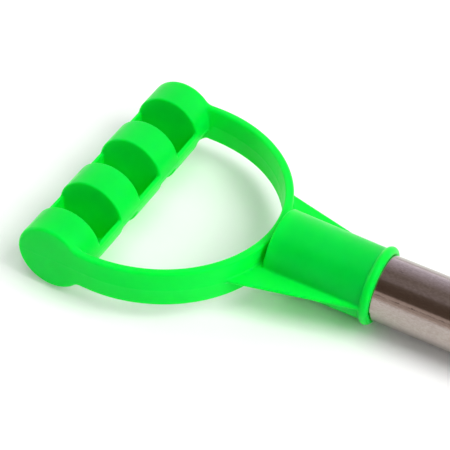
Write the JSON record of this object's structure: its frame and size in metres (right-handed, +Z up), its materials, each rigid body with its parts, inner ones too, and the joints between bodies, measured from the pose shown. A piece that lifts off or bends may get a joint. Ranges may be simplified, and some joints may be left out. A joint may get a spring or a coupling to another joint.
{
  "type": "d-grip tool handle",
  "caption": "One-piece moulded D-shaped hand grip with a ribbed hollow crossbar and a tapered socket, riveted to a thin-walled steel shaft that takes a tool head.",
  "frame": {"origin": "middle of the handle's bounding box on the plane it lies on", "axes": "+X along the shaft from the grip to the open end, +Y along the crossbar, +Z up, square to the flat of the D"},
  "size_m": [0.4, 0.0994, 0.03],
  "materials": {
    "grip_plastic": "satin injection-moulded polypropylene, bright green",
    "shaft_steel": "stainless tube, fine brushing around the shaft, one seam along it",
    "rivet_alloy": "plain blind rivet body, satin",
    "mandrel_steel": "zinc-plated steel, dull where it has snapped"
  },
  "bodies": {
    "root": {"d_grip": "grip_plastic", "shaft_tube": "shaft_steel", "rivet_body": "rivet_alloy", "rivet_mandrel": "mandrel_steel"}
  },
  "joints": []
}
